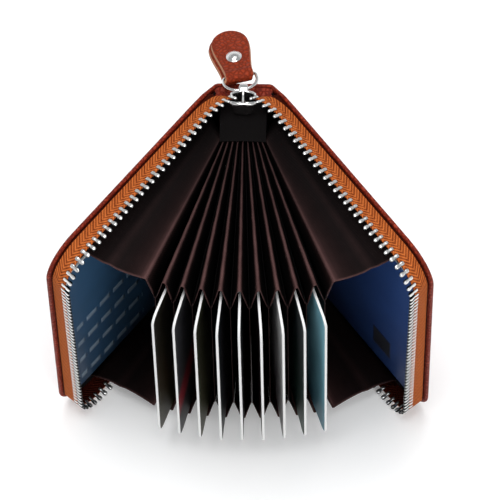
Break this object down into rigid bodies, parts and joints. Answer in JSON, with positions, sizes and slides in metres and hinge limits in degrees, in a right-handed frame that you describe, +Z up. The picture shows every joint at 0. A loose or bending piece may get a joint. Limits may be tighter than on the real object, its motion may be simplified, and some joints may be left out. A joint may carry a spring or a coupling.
{
  "type": "credit card holder",
  "caption": "Zip-round accordion card holder standing open like a book, with fanned satin pockets, cards and a riveted leather zip pull.",
  "frame": {"origin": "on the standing surface, under the middle of the bounding box", "axes": "+Z up along the spine, -Y out of the mouth, +X towards the right-hand cover"},
  "size_m": [0.1122, 0.0932, 0.1142],
  "materials": {
    "cover_leather": "pebbled",
    "tab_leather": "grained",
    "stiffener_board": "matte",
    "lining_cloth": "woven",
    "accordion_satin": "satin",
    "zip_tape": "herringbone",
    "zip_metal": "polished",
    "slider_metal": "polished",
    "card_plastic": "gloss",
    "cover_card_plastic": "gloss"
  },
  "bodies": {
    "spine": {"spine_leather": "cover_leather", "spine_lining": "lining_cloth", "top_end_flap": "lining_cloth", "bottom_end_flap": "lining_cloth", "zip_tail": "zip_tape", "zip_tail_stop": "zip_metal", "gusset_6": "accordion_satin"},
    "left_cover": {"left_cover_leather": "cover_leather", "left_cover_board": "stiffener_board", "left_cover_lining": "lining_cloth", "left_zip_tape": "zip_tape", "left_zip_teeth": "zip_metal", "left_zip_end_stop": "zip_metal", "gusset_1": "accordion_satin"},
    "right_cover": {"right_cover_leather": "cover_leather", "right_cover_board": "stiffener_board", "right_cover_lining": "lining_cloth", "right_zip_tape": "zip_tape", "right_zip_teeth": "zip_metal", "right_zip_end_stop": "zip_metal", "gusset_11": "accordion_satin"},
    "divider_1": {"divider_1": "accordion_satin"},
    "divider_2": {"divider_2": "accordion_satin"},
    "divider_3": {"divider_3": "accordion_satin"},
    "divider_4": {"divider_4": "accordion_satin"},
    "divider_5": {"divider_5": "accordion_satin"},
    "divider_6": {"divider_6": "accordion_satin"},
    "divider_7": {"divider_7": "accordion_satin"},
    "divider_8": {"divider_8": "accordion_satin"},
    "divider_9": {"divider_9": "accordion_satin"},
    "divider_10": {"divider_10": "accordion_satin"},
    "pocket_2": {"gusset_2": "accordion_satin"},
    "pocket_3": {"gusset_3": "accordion_satin"},
    "pocket_4": {"gusset_4": "accordion_satin"},
    "pocket_5": {"gusset_5": "accordion_satin"},
    "pocket_7": {"gusset_7": "accordion_satin"},
    "pocket_8": {"gusset_8": "accordion_satin"},
    "pocket_9": {"gusset_9": "accordion_satin"},
    "pocket_10": {"gusset_10": "accordion_satin"},
    "card_1": {"card_1": "card_plastic"},
    "card_2": {"card_2": "card_plastic"},
    "card_3": {"card_3": "card_plastic"},
    "card_4": {"card_4": "card_plastic"},
    "card_5": {"card_5": "card_plastic"},
    "card_6": {"card_6": "card_plastic"},
    "card_7": {"card_7": "card_plastic"},
    "card_8": {"card_8": "card_plastic"},
    "card_9": {"card_9": "card_plastic"},
    "left_cover_card": {"left_cover_card": "cover_card_plastic"},
    "right_cover_card": {"right_cover_card": "cover_card_plastic"},
    "slider": {"slider_body": "slider_metal", "slider_bridge": "slider_metal"},
    "ring": {"pull_ring": "slider_metal"},
    "tab": {"pull_tab": "tab_leather", "rivet_cap": "slider_metal", "rivet_back": "slider_metal"}
  },
  "joints": [
    {"name": "left_cover_hinge", "type": "hinge", "parent": "spine", "child": "left_cover", "pos_m": [-0.0071, 0.02575, 0.055], "axis": [0, 0, -1], "range_deg": [-39, 0], "deforming": ["gusset_1", "gusset_2", "gusset_3", "gusset_4", "gusset_5", "gusset_6", "gusset_7", "gusset_8", "gusset_9", "gusset_10", "gusset_11"]},
    {"name": "right_cover_hinge", "type": "hinge", "parent": "spine", "child": "right_cover", "pos_m": [0.0071, 0.02575, 0.055], "axis": [0, 0, 1], "range_deg": [-39, 0]},
    {"name": "divider_1_fold", "type": "hinge", "parent": "spine", "child": "divider_1", "pos_m": [-0.00581, 0.01195, 0.055], "axis": [0, 0, -1], "range_deg": [-22.29, 0]},
    {"name": "divider_2_fold", "type": "hinge", "parent": "spine", "child": "divider_2", "pos_m": [-0.00451, 0.01226, 0.055], "axis": [0, 0, -1], "range_deg": [-17.34, 0]},
    {"name": "divider_3_fold", "type": "hinge", "parent": "spine", "child": "divider_3", "pos_m": [-0.00323, 0.0125, 0.055], "axis": [0, 0, -1], "range_deg": [-12.38, 0]},
    {"name": "divider_4_fold", "type": "hinge", "parent": "spine", "child": "divider_4", "pos_m": [-0.00194, 0.01266, 0.055], "axis": [0, 0, -1], "range_deg": [-7.43, 0]},
    {"name": "divider_5_fold", "type": "hinge", "parent": "spine", "child": "divider_5", "pos_m": [-0.00064, 0.01274, 0.055], "axis": [0, 0, -1], "range_deg": [-2.48, 0]},
    {"name": "divider_6_fold", "type": "hinge", "parent": "spine", "child": "divider_6", "pos_m": [0.00064, 0.01274, 0.055], "axis": [0, 0, 1], "range_deg": [-2.48, 0]},
    {"name": "divider_7_fold", "type": "hinge", "parent": "spine", "child": "divider_7", "pos_m": [0.00194, 0.01266, 0.055], "axis": [0, 0, 1], "range_deg": [-7.43, 0]},
    {"name": "divider_8_fold", "type": "hinge", "parent": "spine", "child": "divider_8", "pos_m": [0.00323, 0.0125, 0.055], "axis": [0, 0, 1], "range_deg": [-12.38, 0]},
    {"name": "divider_9_fold", "type": "hinge", "parent": "spine", "child": "divider_9", "pos_m": [0.00451, 0.01226, 0.055], "axis": [0, 0, 1], "range_deg": [-17.34, 0]},
    {"name": "divider_10_fold", "type": "hinge", "parent": "spine", "child": "divider_10", "pos_m": [0.00581, 0.01195, 0.055], "axis": [0, 0, 1], "range_deg": [-22.29, 0]},
    {"name": "pocket_2_fold", "type": "hinge", "parent": "spine", "child": "pocket_2", "pos_m": [-0.00516, 0.01211, 0.055], "axis": [0, 0, -1], "range_deg": [-19.81, 0]},
    {"name": "pocket_3_fold", "type": "hinge", "parent": "spine", "child": "pocket_3", "pos_m": [-0.00387, 0.01239, 0.055], "axis": [0, 0, -1], "range_deg": [-14.86, 0]},
    {"name": "pocket_4_fold", "type": "hinge", "parent": "spine", "child": "pocket_4", "pos_m": [-0.00258, 0.01259, 0.055], "axis": [0, 0, -1], "range_deg": [-9.91, 0]},
    {"name": "pocket_5_fold", "type": "hinge", "parent": "spine", "child": "pocket_5", "pos_m": [-0.00129, 0.01271, 0.055], "axis": [0, 0, -1], "range_deg": [-4.96, 0]},
    {"name": "pocket_7_fold", "type": "hinge", "parent": "spine", "child": "pocket_7", "pos_m": [0.00129, 0.01271, 0.055], "axis": [0, 0, 1], "range_deg": [-4.96, 0]},
    {"name": "pocket_8_fold", "type": "hinge", "parent": "spine", "child": "pocket_8", "pos_m": [0.00258, 0.01259, 0.055], "axis": [0, 0, 1], "range_deg": [-9.91, 0]},
    {"name": "pocket_9_fold", "type": "hinge", "parent": "spine", "child": "pocket_9", "pos_m": [0.00387, 0.01239, 0.055], "axis": [0, 0, 1], "range_deg": [-14.86, 0]},
    {"name": "pocket_10_fold", "type": "hinge", "parent": "spine", "child": "pocket_10", "pos_m": [0.00516, 0.01211, 0.055], "axis": [0, 0, 1], "range_deg": [-19.81, 0]},
    {"name": "card_1_slide", "type": "slide", "parent": "pocket_2", "child": "card_1", "axis": [-0.3387, -0.9409, 0], "range_m": [0, 0.045]},
    {"name": "card_2_slide", "type": "slide", "parent": "pocket_3", "child": "card_2", "axis": [-0.2563, -0.9666, 0], "range_m": [0, 0.045]},
    {"name": "card_3_slide", "type": "slide", "parent": "pocket_4", "child": "card_3", "axis": [-0.1719, -0.9851, 0], "range_m": [0, 0.045]},
    {"name": "card_4_slide", "type": "slide", "parent": "pocket_5", "child": "card_4", "axis": [-0.0863, -0.9963, 0], "range_m": [0, 0.045]},
    {"name": "card_5_slide", "type": "slide", "parent": "spine", "child": "card_5", "axis": [0, -1, 0], "range_m": [0, 0.045]},
    {"name": "card_6_slide", "type": "slide", "parent": "pocket_7", "child": "card_6", "axis": [0.0863, -0.9963, 0], "range_m": [0, 0.045]},
    {"name": "card_7_slide", "type": "slide", "parent": "pocket_8", "child": "card_7", "axis": [0.1719, -0.9851, 0], "range_m": [0, 0.045]},
    {"name": "card_8_slide", "type": "slide", "parent": "pocket_9", "child": "card_8", "axis": [0.2563, -0.9666, 0], "range_m": [0, 0.045]},
    {"name": "card_9_slide", "type": "slide", "parent": "pocket_10", "child": "card_9", "axis": [0.3387, -0.9409, 0], "range_m": [0, 0.045]},
    {"name": "left_card_tilt", "type": "hinge", "parent": "left_cover", "child": "left_cover_card", "pos_m": [-0.01698, 0.01316, 0.055], "axis": [0, 0, 1], "range_deg": [0, 12]},
    {"name": "right_card_tilt", "type": "hinge", "parent": "right_cover", "child": "right_cover_card", "pos_m": [0.01698, 0.01316, 0.055], "axis": [0, 0, -1], "range_deg": [0, 12]},
    {"name": "slider_turn", "type": "hinge", "parent": "spine", "child": "slider", "pos_m": [0, 0.01925, 0.1106], "axis": [1, 0, 0], "range_deg": [0, 85.01]},
    {"name": "ring_swing", "type": "hinge", "parent": "slider", "child": "ring", "pos_m": [0, 0.02375, 0.1118], "axis": [0.9703, 0.2419, 0], "range_deg": [0, 85]},
    {"name": "tab_swing", "type": "hinge", "parent": "ring", "child": "tab", "pos_m": [-0.00139, 0.02932, 0.10948], "axis": [0.9703, 0.2419, 0], "range_deg": [0, 60]}
  ],
  "couplings": [
    {"joint": "right_cover_hinge", "follows": "left_cover_hinge", "ratio": 1},
    {"joint": "divider_1_fold", "follows": "left_cover_hinge", "ratio": 0.57115},
    {"joint": "divider_2_fold", "follows": "left_cover_hinge", "ratio": 0.44423},
    {"joint": "divider_3_fold", "follows": "left_cover_hinge", "ratio": 0.31731},
    {"joint": "divider_4_fold", "follows": "left_cover_hinge", "ratio": 0.19038},
    {"joint": "divider_5_fold", "follows": "left_cover_hinge", "ratio": 0.063462},
    {"joint": "divider_6_fold", "follows": "left_cover_hinge", "ratio": 0.063462},
    {"joint": "divider_7_fold", "follows": "left_cover_hinge", "ratio": 0.19038},
    {"joint": "divider_8_fold", "follows": "left_cover_hinge", "ratio": 0.31731},
    {"joint": "divider_9_fold", "follows": "left_cover_hinge", "ratio": 0.44423},
    {"joint": "divider_10_fold", "follows": "left_cover_hinge", "ratio": 0.57115},
    {"joint": "pocket_2_fold", "follows": "left_cover_hinge", "ratio": 0.50769},
    {"joint": "pocket_3_fold", "follows": "left_cover_hinge", "ratio": 0.38077},
    {"joint": "pocket_4_fold", "follows": "left_cover_hinge", "ratio": 0.25385},
    {"joint": "pocket_5_fold", "follows": "left_cover_hinge", "ratio": 0.12692},
    {"joint": "pocket_7_fold", "follows": "left_cover_hinge", "ratio": 0.12692},
    {"joint": "pocket_8_fold", "follows": "left_cover_hinge", "ratio": 0.25385},
    {"joint": "pocket_9_fold", "follows": "left_cover_hinge", "ratio": 0.38077},
    {"joint": "pocket_10_fold", "follows": "left_cover_hinge", "ratio": 0.50769},
    {"joint": "slider_turn", "follows": "left_cover_hinge", "ratio": -2.1795}
  ]
}
